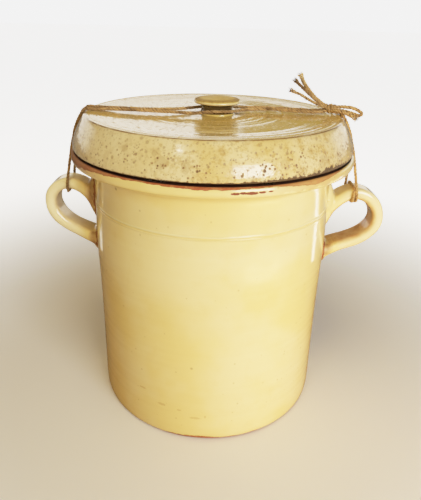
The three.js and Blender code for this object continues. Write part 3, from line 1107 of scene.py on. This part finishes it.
lidFinish = {
    "glaze": (0.66, 0.49, 0.20),
    "pale": (0.75, 0.62, 0.35),
    # cream for painted light on the lid's side and the knob's face
    "litCream": (0.84, 0.73, 0.46),
    "deep": (0.44, 0.28, 0.085),
    "topTone": (0.84, 0.60, 0.14),
    "speck": (0.09, 0.045, 0.016),
    "brown": (0.23, 0.13, 0.045),
    "dirtAndShade": (0.07, 0.04, 0.018),
    # painted shade for the joint under the lip and for the knob's neck
    "recessShade": (0.035, 0.014, 0.008),
    # how strongly each layer shows
    "blotches": 0.7,
    "mottles": 0.6,
    "ironSpecks": 0.95,
    "aroundClusters": 0.24,
    "atLip": 0.92,
    "onTop": 0.6,
    "smudges": 0.45,
    # painted light on the knob's face, and painted shade with some dirt in its neck
    "lightOnKnobFace": 0.75,
    "shadeInNeck": 0.9,
    "gloss": 0.05,          # roughness of clean glaze
    "coat": 0.6,
    "reliefDepth": 0.00022,
    # painted light and shade on the lid's side: creamier at the left of the front and deeper at the right:
    # angle, angle's width, strength, colour
    "sides": [(-42.0, 24.0, 0.55, "litCream"), (62.0, 34.0, 0.22, "deep")],
    "fineSpecks": {"Scale": 430.0, "Size": 0.55, "Share": 0.75},
    "coarseSpecks": {"Scale": 250.0, "Size": 0.50, "Share": 0.42},
    "largeSpecks": {"Scale": 120.0, "Size": 0.20, "Share": 0.42},
    "speckDensity": 0.42,   # of fine and coarse specks where they lie furthest apart
    # dirt above the lip: least height in m, then where it is higher, as angle, width and added height
    "lipBand": {"Middle": 0.2604, "Ragged": 0.7, "Grain": 260.0},
    "lipDirt": (0.0005, [(44, 19, 0.0036), (15, 14, 0.0009), (-24, 16, 0.0005), (150, 26, 0.002)]),
    # clusters of brown pits on the side: place and reach in mm, stretch
    "clusters": [
        ((85.5, -93.0, 266.8), 7.5, (1, 1, 0.8)), ((99.5, -77.2, 268.4), 5.5, (1.3, 1.3, 0.8)),
        ((52.0, -112.7, 272.2), 4.5, (1, 1, 1)), ((-64.0, -103.2, 278.6), 3.2, (1, 1, 1)),
        ((-41.5, -114.2, 278.3), 2.4, (1, 1, 1)), ((-36.5, -118.6, 272.5), 5.5, (1, 1, 1)),
        ((-19.0, -123.6, 270.7), 4.2, (1.2, 1, 0.7)), ((65.6, -108.5, 265.5), 5.0, (0.8, 1, 1.2)),
    ],
    "shoulderRadius": 0.1146,
    "knobAxis": (0.003, 0, 0),
    # edges of masks in m, from where each is 0 to where it is 1
    "lowerSide": (0.2895, 0.266),
    "jointBelow": (0.2603, 0.2599),
    "topWithin": (0.1140, 0.1128),
    "topAbove": (0.2850, 0.2862),
    "shoulderLine": (0.0011, 0.0002),
    "knobWithin": (0.0230, 0.0215),
    "knobAbove": (0.2878, 0.2886),
    "neckBelow": (0.2970, 0.2958),
    "faceAbove": (0.2962, 0.2968),
    "faceBelow": (0.2990, 0.2980),
    "crownAbove": (0.2984, 0.2996),
    "crownBeyond": (0.0135, 0.0185),
    "knobTopAbove": (0.2988, 0.2996),
}


def lidSpecks(c, tree, place, x, height, clusters):
    # closer together towards the lip and +X, and in clusters; returns mask, tone and nearness to the lip
    lower = stepNode(tree, height, *c["lowerSide"])
    toRight = stepNode(tree, x, -0.10, 0.10)
    dense = multiply(tree, lower, add(tree, multiply(tree, toRight, 0.5), 0.5))
    dense = multiply(tree, dense, stepNode(tree, noiseNode(tree, place, 55.0, 4, 0.65), 0.36, 0.6))
    dense = add(tree, dense, c["speckDensity"])
    dense = mathNode(tree, "ADD", dense, multiply(tree, clusters, 0.7), clamp=True)
    coarse = placeGroup(tree, specks, **c["coarseSpecks"])
    marks = larger(tree, placeGroup(tree, specks, **c["fineSpecks"])["Mask"], coarse["Mask"])
    large = multiply(tree, placeGroup(tree, specks, **c["largeSpecks"])["Mask"], 0.85)
    marks = larger(tree, multiply(tree, marks, dense), large)
    return marks, mixColours(tree, coarse["Tone"], c["speck"], c["brown"]), lower


def finishTopAndShoulder(c, tree, colour, place, height, radius):
    # the flat top is yellower than the side, and a broken brown line runs along the shoulder
    onTop = stepNode(tree, radius, *c["topWithin"])
    onTop = multiply(tree, onTop, stepNode(tree, height, *c["topAbove"]))
    colour = layOver(tree, colour, onTop, c["onTop"], c["topTone"])
    line = mathNode(tree, "ABSOLUTE", takeFrom(tree, radius, c["shoulderRadius"]))
    line = stepNode(tree, line, *c["shoulderLine"])
    broken = stepNode(tree, noiseNode(tree, place, 70.0, 4, 0.6), 0.34, 0.56)
    line = multiply(tree, line, add(tree, multiply(tree, broken, 0.6), 0.25))
    return mixColours(tree, line, colour, c["brown"])


def finishKnob(c, tree, colour, place, height, flat):
    # painted shade in the neck under the disc, with some dirt, a creamy face painted lighter as the light
    # falls on it, and brown where hands wore it; returns the colour and the knob's top
    reach = vectorNode(tree, "DISTANCE", flat, c["knobAxis"])
    onKnob = stepNode(tree, reach, *c["knobWithin"])
    onKnob = multiply(tree, onKnob, stepNode(tree, height, *c["knobAbove"]))
    neckShade = multiply(tree, onKnob, stepNode(tree, height, *c["neckBelow"]))
    crown = multiply(tree, onKnob, stepNode(tree, height, *c["crownAbove"]))
    crown = multiply(tree, crown, stepNode(tree, reach, *c["crownBeyond"]))
    worn = noiseNode(tree, place, 210.0, 5, 0.7)
    crown = multiply(tree, crown, add(tree, multiply(tree, worn, 0.9), 0.2))
    top = multiply(tree, onKnob, stepNode(tree, height, *c["knobTopAbove"]))
    smudge = multiply(tree, onKnob, stepNode(tree, worn, 0.50, 0.72))
    # painted light on the knob's face
    face = multiply(tree, onKnob, stepNode(tree, height, *c["faceAbove"]))
    face = multiply(tree, face, stepNode(tree, height, *c["faceBelow"]))
    colour = layOver(tree, colour, smudge, c["smudges"], c["brown"])
    colour = layOver(tree, colour, face, c["lightOnKnobFace"], c["litCream"])
    colour = mixColours(tree, crown, colour, c["brown"])
    return layOver(tree, colour, neckShade, c["shadeInNeck"], c["recessShade"]), top


def lidMaterial(c):
    material, tree, shader = startMaterial("lidGlaze")
    place, x, height, flat, radius = whereOnPot(tree)
    uneven = stepNode(tree, noiseNode(tree, place, 26.0, 4, 0.6), 0.36, 0.64)
    colour = mixColours(tree, uneven, c["glaze"], c["pale"])
    blotch = stepNode(tree, noiseNode(tree, place, 120.0, 5, 0.7), 0.48, 0.70)
    colour = layOver(tree, colour, blotch, c["blotches"], c["deep"])
    mottle = noiseNode(tree, place, 330.0, 4, 0.65)
    colour = layOver(tree, colour, stepNode(tree, mottle, 0.50, 0.66), c["mottles"], c["deep"])
    # painted light at the left of the front, painted shade at the right
    for angle, width, strength, tint in c["sides"]:
        side = placeGroup(tree, roundLump, Angle=angle, Width=width)["Mask"]
        colour = layOver(tree, colour, side, strength, c[tint])
    clusters = patchesNode(tree, c["clusters"], 0.35, 260.0)
    marks, tone, lower = lidSpecks(c, tree, place, x, height, clusters)
    colour = layOver(tree, colour, marks, c["ironSpecks"], tone)
    colour = layOver(tree, colour, clusters, c["aroundClusters"], c["brown"])
    # dirt above the lip, thick on one side, and painted shade in the joint under it
    lip = placeGroup(tree, wornBand, Half=lumpsNode(tree, *c["lipDirt"]), **c["lipBand"])["Mask"]
    colour = layOver(tree, colour, lip, c["atLip"], c["dirtAndShade"])
    # painted shade in the joint between lid and rim
    colour = mixColours(tree, stepNode(tree, height, *c["jointBelow"]), colour, c["recessShade"])
    colour = finishTopAndShoulder(c, tree, colour, place, height, radius)
    colour, knobTop = finishKnob(c, tree, colour, place, height, flat)
    tree.links.new(colour, shader.inputs["Base Color"])
    # gloss, duller on the specks, the dirt and the knob's top
    dull = larger(tree, marks, larger(tree, lip, knobTop))
    gloss = add(tree, multiply(tree, mottle, 0.10), c["gloss"])
    rough = mathNode(tree, "ADD", gloss, multiply(tree, dull, 0.45), clamp=True)
    tree.links.new(rough, shader.inputs["Roughness"])
    tree.links.new(mathNode(tree, "SUBTRACT", c["coat"], dull, clamp=True), shader.inputs["Coat Weight"])
    shader.inputs["Coat Roughness"].default_value = 0.05
    # relief: uneven glaze, sunken specks, and a rougher skin towards the lip
    peel = multiply(tree, noiseNode(tree, place, 110.0, 2, 0.5), 0.35)
    relief = takeFrom(tree, peel, multiply(tree, marks, 1.1))
    relief = add(tree, relief, multiply(tree, mottle, multiply(tree, lower, 2.4)))
    bumpFrom(tree, relief, c["reliefDepth"], 0.6, shader)
    return material


juteFinish = {
    "light": (0.72, 0.50, 0.22),
    "mid": (0.36, 0.19, 0.065),
    "dark": (0.075, 0.032, 0.011),
    "paleTip": (0.72, 0.54, 0.27),
    # painted shade in the creases between the plies
    "shadeBetweenPlies": 0.85,
    "stains": 0.62,
    "leftDarkening": 0.45,
    "threadDepth": 0.0004,
    # the longest end is bleached and the next one dark: place and reach in mm, strength, colour
    "tips": [((77.5, 4.1, 319.5), 8.5, 0.75, "paleTip"), ((75, -2, 314), 8.0, 0.55, "dark")],
}


def juteMaterial(c):
    material, tree, shader = startMaterial("jute")
    fibre = addNode(tree, "ShaderNodeAttribute", attribute_name="fibre").outputs["Vector"]
    threads = noiseNode(tree, vectorNode(tree, "MULTIPLY", fibre, (0.35, 9.0, 1.0)), 1.6, 4, 0.65)
    colour = mixColours(tree, stepNode(tree, threads, 0.34, 0.64), c["mid"], c["light"])
    # painted shade in the creases between the plies
    between = takeFrom(tree, 1.0, stepNode(tree, markOf(tree, "outward"), 0.55, 0.98))
    colour = layOver(tree, colour, between, c["shadeBetweenPlies"], c["dark"])
    place = objectPlace(tree)
    stain = stepNode(tree, noiseNode(tree, place, 75.0, 3, 0.6), 0.48, 0.70)
    colour = layOver(tree, colour, stain, c["stains"], c["dark"])
    # the cord is darker towards the left
    towardsLeft = stepNode(tree, splitNode(tree, place)["X"], -0.085, -0.125)
    colour = layOver(tree, colour, towardsLeft, c["leftDarkening"], c["dark"])
    for centre, reach, strength, tint in c["tips"]:
        tip = patchesNode(tree, [(centre, reach, (1, 1, 1))], 0.2, 200.0)
        colour = layOver(tree, colour, tip, strength, c[tint])
    tree.links.new(colour, shader.inputs["Base Color"])
    shader.inputs["Roughness"].default_value = 0.85
    shader.inputs["Specular IOR Level"].default_value = 0.25
    shader.inputs["Sheen Weight"].default_value = 0.1
    bumpFrom(tree, threads, c["threadDepth"], 0.8, shader)
    return material


def giveMaterial(piece, material):
    spreadNodes(material.node_tree)
    piece.data.materials.clear()
    piece.data.materials.append(material)


for group in (throwLines, specks, patch, wornBand, roundLump):
    spreadNodes(group)
giveMaterial(crock, jarMaterial(jarFinish))
giveMaterial(lid, lidMaterial(lidFinish))
giveMaterial(twine, juteMaterial(juteFinish))
print("finishes given")

for piece, node, slot in ((crock, "jar", "jar_glaze"), (lid, "lid", "lid_glaze"), (twine, "twine", "jute")):
    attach(piece, "root")
    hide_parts(node)

floorSettings = {
    "near": (0.42, 0.28, 0.15),     # as it lights the pot
    "seen": (0.86, 0.82, 0.76),     # as the camera sees it
    "far": (0.88, 0.87, 0.85),
    "fade": (0.2, 0.8),             # metres from the pot over which the floor grows paler
    "size": 40,
    "sunk": 0.0002,                 # metres that it lies under the foot
    "glow": 1.25,                   # of the far floor, so that it runs into the backdrop
}


def layFloor(s):
    selectNothing()
    bpy.ops.mesh.primitive_plane_add(size=s["size"], location=(0, 0, -s["sunk"]))
    floor = bpy.context.object
    floor.name = "floor"
    material, tree, shader = startMaterial("paleFloor")
    paling = stepNode(tree, vectorNode(tree, "LENGTH", objectPlace(tree)), *s["fade"])
    seen = addNode(tree, "ShaderNodeLightPath").outputs["Is Camera Ray"]
    lighting = mixColours(tree, paling, s["near"], s["far"])
    shown = mixColours(tree, paling, s["seen"], s["far"])
    tree.links.new(mixColours(tree, seen, lighting, shown), shader.inputs["Base Color"])
    shader.inputs["Emission Color"].default_value = (1, 1, 0.99, 1)
    glowing = multiply(tree, multiply(tree, paling, seen), s["glow"])
    tree.links.new(glowing, shader.inputs["Emission Strength"])
    shader.inputs["Roughness"].default_value = 0.5
    giveMaterial(floor, material)


layFloor(floorSettings)

lampSettings = {
    "towards": (0, 0, 0.16),
    # degrees from -Y towards +X, degrees up, metres off, size, watts, colour,
    # whether the glaze mirrors it, whether it lights the pot and floor
    "lamps": {
        "window": (31, 19, 1.7, (0.85, 0.7), 21, (0.86, 0.92, 1.0), True, True),
        "skylight": (-30, 44, 1.7, (0.10, 0.07), 0.8, (1.0, 1.0, 1.0), True, True),
        "face": (-8, 20, 2.0, (1.3, 0.9), 12.5, (1.0, 0.72, 0.25), False, True),
        "above": (-16, 70, 1.7, (0.8, 0.8), 11.0, (1.0, 0.80, 0.48), False, True),
        "low": (46, -17, 0.5, (0.30, 0.06), 1.9, (1.0, 0.72, 0.45), False, True),
        "rightGlint": (103.7, -9.5, 0.363, (0.032, 0.13), 0.048, (1.0, 1.0, 1.0), True, False),
        "leftGlint": (-119, -13, 0.358, (0.04, 0.09), 0.016, (1.0, 0.95, 0.85), True, False),
    },
}


def hangLamp(name, towards, angle, height, far, size, power, colour, mirrored, lighting):
    a, h = math.radians(angle), math.radians(height)
    way = Vector((math.sin(a) * math.cos(h), -math.cos(a) * math.cos(h), math.sin(h)))
    data = bpy.data.lights.new(name, "AREA")
    data.shape = "RECTANGLE"
    data.size, data.size_y = size
    data.energy = power
    data.color = colour
    lamp = bpy.data.objects.new(name, data)
    lamp.location = Vector(towards) + way * far
    lamp.rotation_euler = way.to_track_quat("Z", "Y").to_euler()
    lamp.visible_glossy = mirrored
    lamp.visible_diffuse = lighting
    lamp.visible_camera = False
    bpy.context.scene.collection.objects.link(lamp)


for name, lamp in lampSettings["lamps"].items():
    hangLamp(name, lampSettings["towards"], *lamp)

roomSettings = {
    # soft light of the room: the side that it comes from, its colour and how narrow it is
    "sides": [
        ((1, 0, 0), (0.10, 0.12, 0.2), 2),
        ((0, -1, 0), (0.06, 0.05, 0.04), 2),
        ((0, 1, 0), (1.25, 1.1, 0.9), 6),
        ((0, 0, 1), (0.06, 0.05, 0.04), 2),
    ],
    # the white wall that the glaze mirrors: its colour, where it ends round the side and at its top
    "wall": (1.5, 1.42, 1.30),
    "wallSide": (0.30, 0.55),
    "wallTop": (0.36, 0.24),
    # a dark piece of furniture before that wall: its colour, and its soft edges as axis, from and to
    "furniture": (0.38, 0.25, 0.03),
    "furnitureEdges": [("X", 0.03, 0.08), ("X", 0.29, 0.22), ("Z", 0.126, 0.142), ("Z", 0.208, 0.190)],
    "mirrored": (0.10, 0.08, 0.06),     # the rest of the room, as mirrored
    "backdrop": (1.5, 1.5, 1.5),        # seen behind the floor
}


def lightRoom(s):
    world = bpy.data.worlds.new("studio")
    bpy.context.scene.world = world
    world.use_nodes = True
    sky = world.node_tree
    way = addNode(sky, "ShaderNodeTexCoord").outputs["Generated"]
    glow = (0.0, 0.0, 0.0)
    for side, colour, narrow in s["sides"]:
        share = larger(sky, vectorNode(sky, "DOT_PRODUCT", way, side), 0.0)
        glow = mixColours(sky, mathNode(sky, "POWER", share, narrow), glow, colour, "ADD")
    split = splitNode(sky, way)
    shade = None
    for axis, start, end in s["furnitureEdges"]:
        edge = stepNode(sky, split[axis], start, end)
        shade = edge if shade is None else multiply(sky, shade, edge)
    wall = multiply(sky, stepNode(sky, split["Y"], *s["wallSide"]), stepNode(sky, split["Z"], *s["wallTop"]))
    wall = multiply(sky, wall, takeFrom(sky, 1.0, shade))
    mirrored = mixColours(sky, wall, s["mirrored"], s["wall"])
    mirrored = mixColours(sky, shade, mirrored, s["furniture"])
    seen = addNode(sky, "ShaderNodeLightPath").outputs
    glow = mixColours(sky, seen["Is Glossy Ray"], glow, mirrored)
    glow = mixColours(sky, seen["Is Camera Ray"], glow, s["backdrop"])
    background = [n for n in sky.nodes if n.type == "BACKGROUND"][0]
    sky.links.new(glow, background.inputs["Color"])
    spreadNodes(sky)


lightRoom(roomSettings)

# how the camera holds bright light back: straight up to the knee, then bending towards the most
toneSettings = {
    "knee": 0.35,
    "most": 1.0,
    "whiteLevel": 4.0,
    "lights": (0.5, 0.7, 1.0, 1.4, 2.0, 3.0),
}


def exposeSoftly(s):
    view = bpy.context.scene.view_settings
    view.view_transform = "Standard"
    view.use_curve_mapping = True
    view.curve_mapping.white_level = (s["whiteLevel"],) * 3
    curve = view.curve_mapping.curves[3]
    reach = s["most"] - s["knee"]
    for light in s["lights"]:
        shown = s["knee"] + reach * (1 - math.exp((s["knee"] - light) / reach))
        curve.points.new(light / s["whiteLevel"], shown)
    straight = curve.points.new(s["knee"] / s["whiteLevel"], s["knee"])
    straight.handle_type = "VECTOR"
    curve.points[0].handle_type = "VECTOR"
    view.curve_mapping.update()


exposeSoftly(toneSettings)
print("stage and light set")
